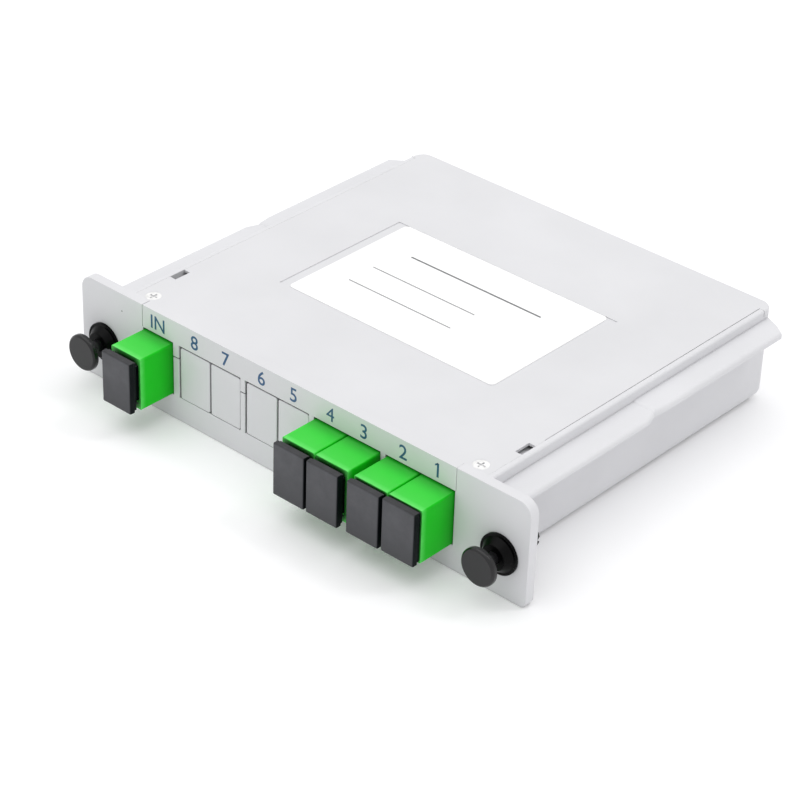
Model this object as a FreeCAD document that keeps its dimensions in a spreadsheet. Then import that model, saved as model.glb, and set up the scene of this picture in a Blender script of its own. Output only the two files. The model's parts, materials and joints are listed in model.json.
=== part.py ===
import FreeCAD, Part
import math
import os
import Sketcher

# Plug-in fibre splitter cassette: a shallow plastic case behind a front plate
# with ears.  X runs along the front plate, Y runs from the plate to the rear
# and Z is up.  Everything is drawn with the front plate's face at Y = 0, and
# each sub-part's Placement then moves it so that the origin is below the
# middle of the whole object.

DOCUMENT = FreeCAD.newDocument("splitter_cassette")
SHEET = DOCUMENT.addObject("Spreadsheet::Sheet", "Sizes")

DIMENSIONS = (
    ("plate_width", 130.0, "front plate, ear to ear"),
    ("plate_height", 25.0, "front plate, bottom to top"),
    ("plate_depth", 2.5, "front plate thickness"),
    ("plate_relief", 0.3, "plate thinner by this inside the case"),
    ("ear_round", 3.3, "upper corners of the ears"),
    ("ear_round_low", 1.8, "lower corners of the ears"),
    ("case_width", 104.6, "case across its side walls"),
    ("case_rear", 99.8, "rear face, from the front of the plate"),
    ("case_floor", 0.5, "underside of the case"),
    ("case_top", 24.25, "upper face of case and cover"),
    ("case_round", 3.2, "rounding of the rear corners"),
    ("case_bevel", 2.0, "slope along the lower edges"),
    ("wall", 2.0, "side wall, rear wall and floor"),
    ("rim", 1.3, "upper part of the side walls, beside the cover"),
    ("seam", 0.08, "gap between parts that meet"),
    ("seam_tight", 0.03, "cover's gap where it is pushed against the tray"),
    ("seam_wide", 0.14, "cover's gap on the other side"),
    ("seam_start", 21.0, "where the cover's wide gap starts"),
    ("lip", 1.1, "strip's overlap with the rest of the cover"),
    ("cover_depth", 1.5, "thickness of the cover"),
    ("cover_flare", 95.8, "where the cover widens over the walls"),
    ("strip_width", 91.0, "cover's strip above the windows"),
    ("window_low", 6.05, "lower edge of the windows"),
    ("window_high", 19.35, "upper edge of the windows"),
    ("window_edge", 45.3, "outer edge of the outermost windows"),
    ("cell", 9.4, "width of one port"),
    ("pair_pitch", 20.2, "from one two-port window to the next"),
    ("post_top", 15.8, "upper end of the posts between windows"),
    ("tooth_gap", 0.3, "gap between a post and the cover's tooth"),
    ("rail_low", 20.2, "underside of the side rails"),
    ("rail_high", 21.9, "upper face of the rails' rear part"),
    ("rail_drop", 0.3, "front part of the rails, lower by this"),
    ("rail_front", 59.2, "front part of the rails, from the middle"),
    ("rail_waist", 58.0, "notch between the two parts, from the middle"),
    ("rail_rear", 58.5, "rear part of the rails, from the middle"),
    ("rail_step", 49.0, "where the two parts meet"),
    ("rail_slope", 3.5, "length of the notch's two slopes"),
    ("rail_end", 94.2, "where the rails start to taper"),
    ("rail_tip_in", 2.3, "rails' tapered end, across"),
    ("rail_tip_back", 1.7, "rails' tapered end, along Y"),
    ("rail_root_back", 3.6, "rear end of the rails beside the wall"),
    ("screw_out", 47.4, "cover screws, from the middle"),
    ("screw_back", 5.3, "cover screws, from the front"),
    ("screw_head", 1.8, "radius of the countersunk head"),
    ("screw_shank", 1.0, "radius of the screw's shank"),
    ("screw_long", 9.0, "screw, end to end"),
    ("cross_long", 1.4, "cross recess, end to end"),
    ("cross_wide", 0.3, "cross recess, width of an arm"),
    ("cross_deep", 0.35, "cross recess, depth"),
    ("screw_play", 0.15, "screw's shank in the cover's hole"),
    ("screw_sunk", 0.1, "screw's head below the cover's face"),
    ("boss", 2.0, "radius of the screw boss"),
    ("boss_deep", 12.0, "depth of the hole in the boss"),
    ("notch_in", 49.2, "snap notch in the cover's edge, inner side"),
    ("notch_back", 15.9, "snap notch, from the front"),
    ("notch_long", 4.4, "snap notch along Y"),
    ("notch_lip", 0.7, "thickness of the cover around the notch"),
    ("notch_relief", 1.2, "thin part of the cover beyond the notch"),
    ("recess_half", 32.1, "label recess, half width"),
    ("recess_front", 29.3, "label recess, front edge"),
    ("recess_rear", 69.0, "label recess, rear edge"),
    ("recess_sink", 0.5, "label recess, depth"),
    ("label_half", 29.7, "label, half width"),
    ("label_front", 29.45, "label, front edge"),
    ("label_rear", 68.6, "label, rear edge"),
    ("label_round", 1.3, "label, corner radius"),
    ("label_thick", 0.16, "label, thickness"),
    ("rack_low", 4.5, "support wall behind the plate, near face"),
    ("rack_depth", 1.5, "support wall thickness"),
    ("body_wide", 9.15, "adapter, across"),
    ("body_tall", 12.9, "adapter, upright"),
    ("body_bevel", 0.25, "adapter's long edges"),
    ("blank_wide", 8.95, "blank plate, across"),
    ("blank_tall", 12.85, "blank plate, upright"),
    ("blank_shift", 0.2, "blanks sit off the middle of their port"),
    ("blank_sink", 0.08, "blank's face behind the plate's face"),
    ("blank_corner", 0.3, "blank's corners"),
    ("rest_gap", 0.05, "parts above the lower edge they rest on"),
    ("port_height", 12.55, "middle of the ports above the bench"),
    ("adapter_out", 9.6, "adapter in front of the plate"),
    ("adapter_long", 27.0, "adapter, end to end"),
    ("rib_out", 0.85, "retaining ribs, beyond the body"),
    ("rib_deep", 1.7, "retaining ribs, along Y"),
    ("rib_play", 0.1, "retaining ribs behind the plate"),
    ("rib_short", 1.5, "adapter's ribs, in from its sides"),
    ("socket_wide", 7.5, "adapter socket, across"),
    ("socket_tall", 9.3, "adapter socket, upright"),
    ("key_long", 5.5, "key slot in the socket, along Y"),
    ("key_half", 1.3, "key slot, half height"),
    ("key_deep", 0.5, "key slot, depth"),
    ("holder_thick", 1.6, "sleeve holder's plate"),
    ("holder_play", 0.03, "gap round the sleeve holder and the sleeve"),
    ("hook_half", 1.6, "latch arms, half width"),
    ("hook_root", 3.55, "latch arms, from the adapter's axis"),
    ("hook_thick", 0.6, "latch arms, through its flat part"),
    ("hook_bite", 0.55, "latch arms' tip, inwards"),
    ("hook_start", 0.5, "latch arms' root, from the adapter's middle"),
    ("hook_flat", 5.0, "latch arms, where its tip starts"),
    ("hook_long", 6.4, "latch arms' end, from the adapter's middle"),
    ("hook_slope", 0.4, "latch arms' tip, run of its slopes"),
    ("barrel", 2.35, "sleeve holder's barrel, outer radius"),
    ("barrel_long", 13.0, "sleeve holder's barrel, end to end"),
    ("sleeve_out", 1.6, "alignment sleeve, outer radius"),
    ("sleeve_in", 1.25, "alignment sleeve, inner radius"),
    ("sleeve_long", 11.4, "alignment sleeve, end to end"),
    ("sleeve_slit", 0.4, "slit along the alignment sleeve"),
    ("cap_wide", 8.7, "dust cap, across"),
    ("cap_tall", 12.7, "dust cap, upright"),
    ("cap_thick", 2.15, "dust cap, from its face to its shoulder"),
    ("cap_plate", 1.9, "dust cap's face plate"),
    ("cap_bevel", 0.4, "dust cap's front edges"),
    ("cap_neck_wide", 8.3, "dust cap's neck, across"),
    ("cap_neck_tall", 12.0, "dust cap's neck, upright"),
    ("cap_plug", 2.6, "depth of the dust cap's plug"),
    ("cap_play", 0.3, "dust cap's plug, clear of the socket"),
    ("plug_wide", 7.2, "inner connector, across"),
    ("plug_tall", 9.0, "inner connector, upright"),
    ("plug_rear", 26.5, "inner connector, rear end"),
    ("plug_front", 1.2, "connector's front end, from the adapter's middle"),
    ("plug_open", 2.5, "opening for the barrel, half width"),
    ("plug_deep", 7.0, "opening for the barrel, depth"),
    ("plug_step", 1.6, "inner connector's front and rear, lower by this"),
    ("ferrule_long", 11.0, "connector pin"),
    ("ferrule_play", 0.01, "connector pin in the sleeve"),
    ("nose", 0.4, "taper on the connector pin's nose"),
    ("boot_long", 19.5, "strain relief boot"),
    ("boot_collar", 2.4, "boot's collar, radius"),
    ("boot_collar_long", 3.0, "boot's collar, along Y"),
    ("boot_waist", 1.7, "boot's middle, radius"),
    ("boot_tip", 1.0, "boot's tip, radius"),
    ("boot_tip_long", 6.0, "boot's tip, along Y"),
    ("fibre", 0.45, "buffered fibre, radius"),
    ("tail_flat", 7.5, "fibre tails, straight start behind the boot"),
    ("tail_over", 8.0, "fibre tails, height where they bend down"),
    ("tail_aside", 5.0, "fibre tails, sideways where they bend down"),
    ("tail_past", 0.6, "fibre tails' bend behind the coil's front run"),
    ("tail_end_high", 5.7, "fibre tails, height of the end in the coil"),
    ("tail_end_aside", 12.5, "fibre tails, sideways to the end in the coil"),
    ("tail_end_past", 0.3, "fibre tails' end behind the coil's front run"),
    ("latch_out", 57.75, "latches, from the middle"),
    ("latch_height", 10.3, "latches, above the bench"),
    ("flange", 4.7, "latch grommet's flange, radius"),
    ("flange_play", 0.02, "latch grommet's flange off the plate"),
    ("flange_thick", 0.7, "latch grommet's flange"),
    ("collar_front", 2.3, "latch grommet's collar in front of the plate"),
    ("collar_mouth", 2.9, "collar's radius at its front end"),
    ("collar_foot", 4.1, "collar's radius at the flange"),
    ("shoulder", 3.6, "latch grommet inside the ear, radius"),
    ("leg", 3.2, "latch grommet's legs, radius"),
    ("leg_taper", 8.3, "where the legs start to taper"),
    ("leg_end", 10.4, "latch grommet's legs, rear end"),
    ("leg_tip", 2.6, "latch grommet's legs, radius at the end"),
    ("bore", 1.6, "latch grommet's bore, radius"),
    ("slit", 1.1, "slit between the legs"),
    ("slit_start", 0.6, "slit's front end behind the plate"),
    ("knob", 4.35, "latch plunger's head, radius"),
    ("knob_thick", 1.4, "latch plunger's head, along Y"),
    ("knob_bevel", 0.4, "latch plunger's head, front edge"),
    ("stem_play", 0.08, "latch plunger's stem in its bore"),
    ("stem_short", 0.6, "stem's end in front of the legs' end"),
    ("knob_front", 7.3, "latch plunger's head in front of the plate"),
    ("coil_bend", 16.0, "fibre coil, bend radius"),
    ("coil_straight", 22.0, "fibre coil, half of its straight run"),
    ("coil_back", 74.0, "fibre coil's middle, from the front"),
    ("coil_thick", 2.2, "fibre coil, radius of the bundle"),
    ("coil_lift", 0.3, "fibre coil above the floor"),
    ("chip_long", 40.0, "splitter chip's steel case"),
    ("chip_wide", 4.0, "splitter chip's case, across"),
    ("chip_round", 0.5, "splitter chip's long edges"),
    ("pad_thick", 0.6, "soft pad below the chip"),
    ("pad_half", 3.0, "soft pad, half width"),
    ("lead_high", 2.6, "chip's fibre and ribbon above the floor"),
    ("lead_flat", 8.0, "straight start of the chip's fibre and ribbon"),
    ("lead_short", 1.2, "ends of fibre and ribbon inside the coil's bend"),
    ("lead_back", 3.5, "ends of fibre and ribbon, towards the rear"),
    ("clip_play", 0.25, "clip beside the fibre bundle"),
    ("clip_thick", 1.0, "clip's wall"),
    ("clip_foot", 1.2, "clip's foot, outwards"),
    ("clip_foot_thick", 0.8, "clip's foot, upwards"),
    ("clip_over", 0.6, "clip above the fibre bundle"),
    ("clip_wide", 5.0, "clip, along the bundle"),
)

SINK = 0.5              # how far a pad reaches into the solid that it joins
PAST = 1.0              # how far a cut runs past the solid
NEAR = 0.01             # two places closer than this count as one
BARREL_SIDES = 12       # sides of the hidden barrels and boots
PIN_SIDES = 16          # sides of the hidden pins, sleeves and their bores
FIBRE_SIDES = 4         # sides of a fibre's section
SQUARE_SHARE = 1.25     # square's corner radius for the round section's area
BEND_SHARE = 0.45       # how much of the shorter run beside it a bend takes
VOLUME_SLACK = 0.02     # how far a tube's volume may be off, as a share


class Size:
    """A length together with the spreadsheet formula that it comes from."""

    def __init__(self, value, formula):
        self.value = value
        self.formula = formula

    def combined(self, other, sign, value):
        return Size(value, "(%s %s %s)" % (self.formula, sign, other.formula))

    def __add__(self, other):
        other = as_size(other)
        return self.combined(other, "+", self.value + other.value)

    def __sub__(self, other):
        other = as_size(other)
        return self.combined(other, "-", self.value - other.value)

    def __rsub__(self, other):
        return as_size(other) - self

    def __mul__(self, other):
        other = as_size(other)
        return self.combined(other, "*", self.value * other.value)

    def __truediv__(self, other):
        other = as_size(other)
        return self.combined(other, "/", self.value / other.value)

    def __neg__(self):
        return Size(-self.value, "(0 - %s)" % self.formula)


def as_size(number):
    if isinstance(number, Size):
        return number
    return Size(float(number), "(%.6g)" % number)


def fill_sheet():
    sizes = {}
    for row, (alias, value, meaning) in enumerate(DIMENSIONS, start=1):
        SHEET.set("A%d" % row, meaning)
        SHEET.set("B%d" % row, str(value))
        SHEET.setAlias("B%d" % row, alias)
        sizes[alias] = Size(value, "Sizes.%s" % alias)
    DOCUMENT.recompute()
    return sizes


SIZE = fill_sheet()


def size(alias):
    return SIZE[alias]


# ---------------------------------------------------------------- sketching

NORMAL_SIGN = {"XY_Plane": 1, "XZ_Plane": -1, "YZ_Plane": 1}


def new_body(label):
    body = DOCUMENT.addObject("PartDesign::Body", label)
    body.Label = label
    return body


def new_sketch(body, plane, level):
    """A sketch on one of the body's own planes, moved to a world level."""
    sketch = body.newObject("Sketcher::SketchObject", body.Name + "_sketch")
    for feature in body.Origin.OriginFeatures:
        if feature.Role == plane:
            sketch.AttachmentSupport = (feature, "")
    sketch.MapMode = "FlatFace"
    offset = as_size(level) * NORMAL_SIGN[plane]
    sketch.setExpression("AttachmentOffset.Base.z", offset.formula)
    return sketch


def pin_coordinate(sketch, kind, index, end, length):
    """Ties one coordinate of a point to the sheet."""
    axis = -2 if kind == "DistanceX" else -1
    if abs(length.value) < 1e-9:
        sketch.addConstraint(Sketcher.Constraint("PointOnObject", index, end, axis))
        return
    constraint = Sketcher.Constraint(kind, -1, 1, index, end, length.value)
    number = sketch.addConstraint(constraint)
    sketch.setExpression("Constraints[%d]" % number, length.formula)


def pin_point(sketch, index, end, point):
    pin_coordinate(sketch, "DistanceX", index, end, as_size(point[0]))
    pin_coordinate(sketch, "DistanceY", index, end, as_size(point[1]))


def outline(sketch, points):
    """A closed run of straight lines through points given as sizes."""
    first = sketch.GeometryCount
    flat = [FreeCAD.Vector(as_size(x).value, as_size(y).value, 0) for x, y in points]
    for start, end in zip(flat, flat[1:] + flat[:1]):
        sketch.addGeometry(Part.LineSegment(start, end), False)
    for number in range(len(points)):
        following = first + (number + 1) % len(points)
        joined = Sketcher.Constraint("Coincident", first + number, 2, following, 1)
        sketch.addConstraint(joined)
        pin_point(sketch, first + number, 1, points[number])


def rectangle(sketch, left, right, low, high):
    outline(sketch, ((left, low), (right, low), (right, high), (left, high)))


def many_sided(sketch, radius, sides):
    """A regular polygon, for hidden round parts that repeat."""
    points = []
    for number in range(sides):
        turn = 2 * math.pi * (number + 0.5) / sides
        points.append((radius * math.cos(turn), radius * math.sin(turn)))
    outline(sketch, points)


def circle(sketch, across, up, radius):
    radius = as_size(radius)
    centre = FreeCAD.Vector(as_size(across).value, as_size(up).value, 0)
    normal = FreeCAD.Vector(0, 0, 1)
    index = sketch.addGeometry(Part.Circle(centre, normal, radius.value), False)
    pin_point(sketch, index, 3, (across, up))
    constraint = Sketcher.Constraint("Radius", index, radius.value)
    number = sketch.addConstraint(constraint)
    sketch.setExpression("Constraints[%d]" % number, radius.formula)


def extrude(body, kind, plane, start, end, draw):
    """A pad or pocket of the outlines that draw makes, from start to end."""
    start = as_size(start)
    end = as_size(end)
    sketch = new_sketch(body, plane, start)
    draw(sketch)
    feature = body.newObject(kind, body.Name + "_" + kind.split("::")[1].lower())
    feature.Profile = sketch
    forward = end.value > start.value
    length = (end - start) if forward else (start - end)
    feature.setExpression("Length", length.formula)
    along_normal = forward == (NORMAL_SIGN[plane] > 0)
    if kind == "PartDesign::Pad":
        feature.Reversed = not along_normal
    else:
        feature.Reversed = along_normal
    before = body.Shape.Volume if body.Shape.Solids else 0.0
    DOCUMENT.recompute()
    change = body.Shape.Volume - before
    if kind == "PartDesign::Pad" and change <= 0:
        raise RuntimeError("%s adds nothing to %s" % (feature.Name, body.Label))
    if kind == "PartDesign::Pocket" and change >= 0:
        raise RuntimeError("%s cuts nothing from %s" % (feature.Name, body.Label))
    return feature


def pad(body, plane, start, end, draw):
    return extrude(body, "PartDesign::Pad", plane, start, end, draw)


def pocket(body, plane, start, end, draw):
    return extrude(body, "PartDesign::Pocket", plane, start, end, draw)


def edges_that(shape, test):
    names = []
    for number, edge in enumerate(shape.Edges, start=1):
        if test(edge):
            names.append("Edge%d" % number)
    if not names:
        raise RuntimeError("no edge passes the test")
    return names


def dress(body, kind, size_name, amount, test):
    """A fillet or chamfer on the edges of the body that pass a test."""
    base = body.Tip
    feature = body.newObject("PartDesign::" + kind, body.Name + "_" + kind.lower())
    feature.Base = (base, edges_that(base.Shape, test))
    feature.setExpression(size_name, as_size(amount).formula)
    DOCUMENT.recompute()
    return feature


def fillet(body, radius, test):
    return dress(body, "Fillet", "Radius", radius, test)


def chamfer(body, width, test):
    return dress(body, "Chamfer", "Size", width, test)


def runs_along(edge, axis):
    box = edge.BoundBox
    spans = {"x": box.XLength, "y": box.YLength, "z": box.ZLength}
    others = [span for name, span in spans.items() if name != axis]
    return spans[axis] > NEAR and max(others) < NEAR / 100


def revolve(body, plane, profile, axis_name):
    """A full turn of a profile about one axis of its sketch."""
    sketch = new_sketch(body, plane, 0.0)
    outline(sketch, profile)
    feature = body.newObject("PartDesign::Revolution", body.Name + "_revolution")
    feature.Profile = sketch
    feature.ReferenceAxis = (sketch, [axis_name])
    feature.Angle = 360.0
    DOCUMENT.recompute()
    return feature


def place(part, across=0.0, back=0.0, up=0.0):
    """Moves a finished sub-part to its seat and to the object's own origin."""
    across = as_size(across)
    back = as_size(back) - MIDDLE_BACK
    up = as_size(up)
    part.setExpression("Placement.Base.x", across.formula)
    part.setExpression("Placement.Base.y", back.formula)
    part.setExpression("Placement.Base.z", up.formula)
    SUBPARTS.append(part)
    return part


SUBPARTS = []
# how far each port's dust cap stands off its seat
CAP_PROUD = {0: 0.9, 1: 0.0, 2: 0.25, 3: 0.75, 4: 0.75}
CAP_FRONT = (size("adapter_out") + size("cap_thick") + size("rest_gap")
             + max(CAP_PROUD.values()))
MIDDLE_BACK = (size("case_rear") - CAP_FRONT) / 2

# Ports: centres across the plate.  Port 0 is the input at the left end; the
# outputs 1 to 8 run from the right end, two to a window.
FIRST_PAIR = size("window_edge") - size("cell")
INPUT_X = size("cell") / 2 - size("window_edge")
OUTPUTS = 8
LIVE_OUTPUTS = 4


def pair_middle(pair):
    return FIRST_PAIR - size("pair_pitch") * pair


def port_middle(port):
    if port == 0:
        return INPUT_X
    pair, second = divmod(port - 1, 2)
    half = size("cell") / 2
    return pair_middle(pair) - half if second else pair_middle(pair) + half


LIVE_PORTS = tuple(range(LIVE_OUTPUTS + 1))
BLANK_PORTS = tuple(range(LIVE_OUTPUTS + 1, OUTPUTS + 1))


# ------------------------------------------------------------------ casing

def draw_windows(sketch, low, high):
    """The input's own window and the four windows of two ports each."""
    cell = size("cell")
    edge = size("window_edge")
    rectangle(sketch, -edge, cell - edge, low, high)
    for pair in range(OUTPUTS // 2):
        middle = pair_middle(pair)
        rectangle(sketch, middle - cell, middle + cell, low, high)


def front_rail(sketch, side):
    """Front part of a rail, which narrows towards the notch."""
    root = size("case_width") / 2 - SINK
    plate = size("plate_depth") - SINK
    step = size("rail_step")
    points = (
        (root, plate),
        (size("rail_front"), plate),
        (size("rail_front"), step - size("rail_slope")),
        (size("rail_waist"), step),
        (root, step),
    )
    outline(sketch, [(x * side, y) for x, y in points])


def rear_rail(sketch, side):
    """Rear part of a rail, from the notch to its tapered end."""
    root = size("case_width") / 2 - SINK
    step = size("rail_step")
    end = size("rail_end")
    points = (
        (root, step),
        (size("rail_waist"), step),
        (size("rail_rear"), step + size("rail_slope")),
        (size("rail_rear"), end),
        (size("rail_rear") - size("rail_tip_in"), end + size("rail_tip_back")),
        (root, end + size("rail_root_back")),
    )
    outline(sketch, [(x * side, y) for x, y in points])


def base_shell():
    """Moulded tray: case walls, front plate with ears, rails and posts."""
    body = new_body("base_shell")
    half = size("case_width") / 2
    wall = size("wall")
    rear = size("case_rear")
    floor = size("case_floor")
    ledge = size("case_top") - size("cover_depth")
    plate = size("plate_depth")
    plate_half = size("plate_width") / 2

    # the case, as one block with rounded rear corners and sloped lower edges
    inside = plate - size("plate_relief")
    block_front = inside - PAST
    pad(body, "XY_Plane", floor, size("case_top"),
        lambda s: rectangle(s, -half, half, block_front, rear))
    rear_y = rear.value
    fillet(body, size("case_round"),
           lambda e: runs_along(e, "z") and e.BoundBox.YMin > rear_y - NEAR)
    low_z = floor.value
    front_y = block_front.value
    chamfer(body, size("case_bevel"),
            lambda e: e.BoundBox.ZMax < low_z + NEAR and e.BoundBox.YMax > front_y + NEAR)

    # side rails that carry the cassette in its slot
    for side in (-1, 1):
        pad(body, "XY_Plane", size("rail_low"), size("rail_high") - size("rail_drop"),
            lambda s, side=side: front_rail(s, side))
        pad(body, "XY_Plane", size("rail_low"), size("rail_high"),
            lambda s, side=side: rear_rail(s, side))

    # front plate with two ears
    pad(body, "XZ_Plane", 0.0, plate,
        lambda s: rectangle(s, -plate_half, plate_half, 0.0, size("plate_height")))
    ear_x = plate_half.value
    top_z = size("plate_height").value
    fillet(body, size("ear_round"),
           lambda e: runs_along(e, "y") and abs(e.BoundBox.XMin) > ear_x - NEAR
           and e.BoundBox.ZMin > top_z - NEAR)
    fillet(body, size("ear_round_low"),
           lambda e: runs_along(e, "y") and abs(e.BoundBox.XMin) > ear_x - NEAR
           and e.BoundBox.ZMax < NEAR)

    # the hollow, the cover's seat and the lowered rear wall; inside the case
    # the plate is a little thinner than in the ears
    pocket(body, "XY_Plane", size("case_top"), floor + wall,
           lambda s: rectangle(s, wall - half, half - wall, inside, rear - wall))
    pocket(body, "XY_Plane", size("case_top"), ledge,
           lambda s: rectangle(s, size("rim") - half, half - size("rim"),
                               inside, size("cover_flare")))
    pocket(body, "XY_Plane", size("case_top"), ledge,
           lambda s: rectangle(s, -half - PAST, half + PAST, size("cover_flare"),
                               rear + PAST))

    # windows, and the space of the cover's strip above them
    strip = size("strip_width") / 2
    edge = size("window_edge")
    pocket(body, "XZ_Plane", -PAST, plate + NEAR,
           lambda s: draw_windows(s, size("window_low"), size("window_high")))
    pocket(body, "XZ_Plane", -PAST, plate + NEAR,
           lambda s: rectangle(s, PAST - edge, edge - PAST, size("post_top"),
                               size("window_high")))
    pocket(body, "XZ_Plane", -PAST, plate + NEAR,
           lambda s: rectangle(s, -strip, strip, size("window_high"),
                               size("plate_height") + PAST))

    # low wall that traps the ribs of adapters and blanks behind the plate
    rack = size("rack_low")
    inner = half - wall
    pad(body, "XZ_Plane", rack, rack + size("rack_depth"),
        lambda s: rectangle(s, -inner - SINK, inner + SINK, floor + wall - SINK,
                            size("window_low") - size("rest_gap")))

    # bosses for the cover screws
    for side in (-1, 1):
        across = size("screw_out") * side
        pad(body, "XY_Plane", floor + wall - SINK, ledge,
            lambda s, x=across: circle(s, x, size("screw_back"), size("boss")))
        pocket(body, "XY_Plane", ledge, ledge - size("boss_deep"),
               lambda s, x=across: circle(s, x, size("screw_back"),
                                          size("screw_shank") + size("rest_gap")))

    # holes for the latches in the ears
    for side in (-1, 1):
        pocket(body, "XZ_Plane", -PAST, plate + PAST,
               lambda s, side=side: circle(s, size("latch_out") * side,
                                           size("latch_height"),
                                           size("shoulder") + size("rest_gap")))
    return place(body)


def strip_edges():
    """Ends of the cover's strip, which sits a little to the right."""
    half = size("strip_width") / 2
    return size("seam_wide") - half, half - size("seam_tight")


def cover_outline(sketch):
    """The cover from above; it sits a little to the left in the tray."""
    half = size("case_width") / 2
    seat = half - size("rim")
    left = size("seam_tight") - seat
    right_front = seat - size("seam_tight")
    right = seat - size("seam_wide")
    opens = size("seam_start")
    flare = size("cover_flare") + size("seam")
    rear = size("case_rear")
    front = size("plate_depth") + size("seam")
    inside = front - size("lip")
    strip_left, strip_right = strip_edges()
    outline(sketch, (
        (left, front), (strip_left, front), (strip_left, inside),
        (strip_right, inside), (strip_right, front), (right_front, front),
        (right_front, opens), (right, opens), (right, flare), (half, flare),
        (half, rear), (-half, rear), (-half, flare), (left, flare)))


def snap_notch(sketch, side, inner, along):
    """A notch in one side edge of the cover, from inner to the edge."""
    outer = size("case_width") / 2 - size("rim") + NEAR
    middle = size("notch_back")
    rectangle(sketch, inner * side, outer * side, middle - along / 2,
              middle + along / 2)


def top_cover():
    """Moulded lid with the strip and comb teeth that close the windows."""
    body = new_body("top_cover")
    top = size("case_top")
    under = top - size("cover_depth")
    rear_y = size("case_rear").value
    pad(body, "XY_Plane", under, top, cover_outline)
    fillet(body, size("case_round"),
           lambda e: runs_along(e, "z") and e.BoundBox.YMin > rear_y - NEAR)

    # strip across the front, above the windows
    strip_left, strip_right = strip_edges()
    plate = size("plate_depth")
    pad(body, "XZ_Plane", 0.0, plate,
        lambda s: rectangle(s, strip_left, strip_right, size("window_high"),
                            size("plate_height")))

    # teeth that meet the posts between the windows
    cell = size("cell")
    for pair in range(OUTPUTS // 2):
        left = pair_middle(pair) - cell
        if pair + 1 < OUTPUTS // 2:
            beyond = pair_middle(pair + 1) + cell
        else:
            beyond = cell - size("window_edge")
        pad(body, "XZ_Plane", 0.0, plate,
            lambda s, a=beyond, b=left: rectangle(
                s, a, b, size("post_top") + size("tooth_gap"),
                size("window_high") + SINK))

    # recess for the label
    pocket(body, "XY_Plane", top, top - size("recess_sink"),
           lambda s: rectangle(s, -size("recess_half"), size("recess_half"),
                               size("recess_front"), size("recess_rear")))

    # notches for the tray's snap hooks, with the cover thinner around them
    for side in (-1, 1):
        pocket(body, "XY_Plane", top, under - SINK,
               lambda s, side=side: snap_notch(s, side, size("notch_in"),
                                               size("notch_long")))
        relief = size("notch_relief")
        pocket(body, "XY_Plane", under - SINK, top - size("notch_lip"),
               lambda s, side=side: snap_notch(s, side, size("notch_in") - relief,
                                               size("notch_long") + relief * 2))

    # countersunk screw holes
    hole = size("screw_shank") + size("screw_play")
    for side in (-1, 1):
        x = size("screw_out") * side
        pocket(body, "XY_Plane", top, under - SINK,
               lambda s, x=x: circle(s, x, size("screw_back"), hole))
    top_z = top.value
    hole_radius = hole.value
    chamfer(body, size("screw_head") + size("screw_sunk") - hole,
            lambda e: e.BoundBox.ZMin > top_z - NEAR
            and isinstance(e.Curve, Part.Circle)
            and abs(e.Curve.Radius - hole_radius) < NEAR)
    return place(body)


def screw_shape(across):
    """Countersunk screw with a cross recess, as one solid of revolution."""
    top = (size("case_top") - size("screw_sunk")).value
    head = size("screw_head").value
    shank = size("screw_shank").value
    neck = top - (head - shank)
    low = top - size("screw_long").value
    points = ((0, low), (shank, low), (shank, neck), (head, top), (0, top), (0, low))
    wire = Part.makePolygon([FreeCAD.Vector(x, 0, z) for x, z in points])
    origin = FreeCAD.Vector(0, 0, 0)
    axis = FreeCAD.Vector(0, 0, 1)
    solid = Part.Face(wire).revolve(origin, axis, 360)
    long = size("cross_long").value
    wide = size("cross_wide").value
    deep = size("cross_deep").value
    for turn in (0, 90):
        corner = FreeCAD.Vector(-long / 2, -wide / 2, top - deep)
        arm = Part.makeBox(long, wide, deep + PAST, corner)
        arm.rotate(origin, axis, turn)
        solid = solid.cut(arm)
    solid.translate(FreeCAD.Vector(across, size("screw_back").value, 0))
    return solid


def shape_part(label, shape, **seat):
    feature = DOCUMENT.addObject("Part::Feature", label)
    feature.Label = label
    feature.Shape = shape
    return place(feature, **seat)


def cover_screws():
    out = size("screw_out").value
    return shape_part("cover_screws",
                      Part.makeCompound([screw_shape(-out), screw_shape(out)]))


def label():
    """Thin blank sticker in the cover's recess."""
    body = new_body("label")
    low = size("case_top") - size("recess_sink")
    half = size("label_half")
    pad(body, "XY_Plane", low, low + size("label_thick"),
        lambda s: rectangle(s, -half, half, size("label_front"), size("label_rear")))
    fillet(body, size("label_round"), lambda e: runs_along(e, "z"))
    return place(body)


# ------------------------------------------------------- adapters and blanks

def rib_profile(sketch):
    """Side view of a blank: flush face with a taller rib behind the plate."""
    tall = size("blank_tall") / 2
    rib = tall + size("rib_out")
    face = size("blank_sink")
    back = size("plate_depth") + size("rib_play")
    end = back + size("rib_deep")
    outline(sketch, (
        (face, -tall), (back, -tall), (back, -rib), (end, -rib),
        (end, rib), (back, rib), (back, tall), (face, tall)))


def blank_plate(port):
    """Cover for an unused port, with small slopes at its four corners."""
    body = new_body("blank_plate_%d" % port)
    half = size("blank_wide") / 2
    pad(body, "YZ_Plane", -half, half, rib_profile)
    rib_front = (size("plate_depth") + size("rib_play")).value
    chamfer(body, size("blank_corner"),
            lambda e: runs_along(e, "y") and e.BoundBox.YMax < rib_front + NEAR)
    up = size("window_low") + size("rest_gap") + size("blank_tall") / 2
    return place(body, across=port_middle(port) + size("blank_shift"), up=up)


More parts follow.
